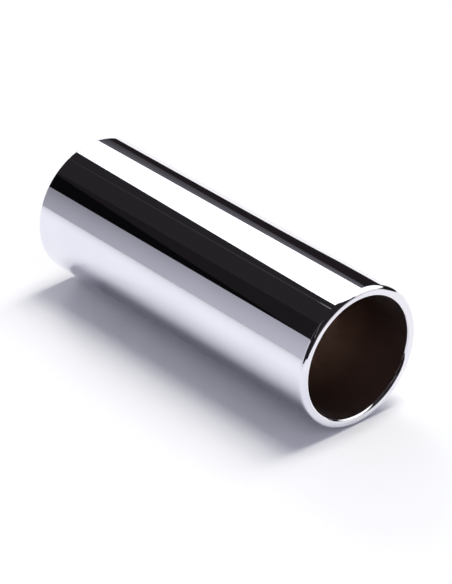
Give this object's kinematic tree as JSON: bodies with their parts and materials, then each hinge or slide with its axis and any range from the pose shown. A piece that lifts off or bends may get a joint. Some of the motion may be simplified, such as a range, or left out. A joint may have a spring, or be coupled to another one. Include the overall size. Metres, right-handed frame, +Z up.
{
  "type": "guitar slide",
  "caption": "Straight chromed steel tube guitar slide with a rounded mouth, a plain far end and a bare bore for a finger.",
  "frame": {"origin": "on the floor, under the middle of the tube as it lies on its side", "axes": "+X along the tube from the plain end to the rounded mouth, +Z up"},
  "size_m": [0.06, 0.022, 0.022],
  "materials": {
    "bare_steel": "bare drawn steel, oiled and darkened",
    "bright_chrome": "mirror bright"
  },
  "bodies": {
    "root": {"steel_tube": "bare_steel", "chrome_plating": "bright_chrome"}
  },
  "joints": []
}
